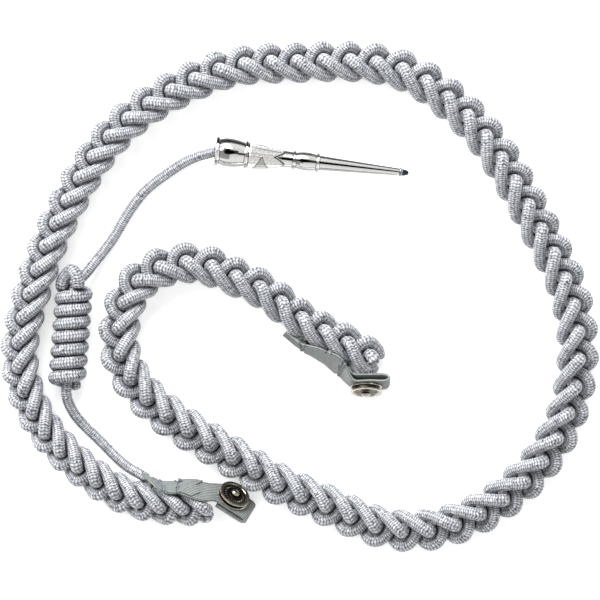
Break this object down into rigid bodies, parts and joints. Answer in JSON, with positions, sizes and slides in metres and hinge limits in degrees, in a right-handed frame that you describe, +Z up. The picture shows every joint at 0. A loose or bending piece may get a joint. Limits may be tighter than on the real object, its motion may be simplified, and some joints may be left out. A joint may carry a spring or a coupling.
{
  "type": "aiguillette",
  "caption": "Silver-grey dress aiguillette laid flat in a spiral: three-strand plaited cord, barrel knot, turned metal tip, and a cloth tab with a snap at each end.",
  "frame": {"origin": "middle of the laid-out outline at the surface that it lies on, with the lead cord left out of account", "axes": "+Z up from the surface it lies on, +X to the right and +Y to the top of the picture's frame, +X being the longest extent"},
  "size_m": [0.2348, 0.2002, 0.0166],
  "materials": {
    "cord": "braided metallic yarn, silver-grey with bright flecks",
    "tape": "grey-green woven tape",
    "nickel": "polished nickel plate on turned metal",
    "gunmetal": "polished dark gunmetal plate",
    "blued": "gloss blue-black"
  },
  "bodies": {
    "root": {"plait_strand_1": "cord", "plait_strand_2": "cord", "plait_strand_3": "cord", "lead_cord": "cord", "knot_wrap": "cord", "tip_body": "nickel", "tip_point": "blued", "tab_outer": "tape", "tab_inner": "tape", "snap_outer_body": "gunmetal", "snap_outer_stud": "gunmetal", "snap_inner_body": "gunmetal", "snap_inner_stud": "gunmetal"}
  },
  "joints": []
}
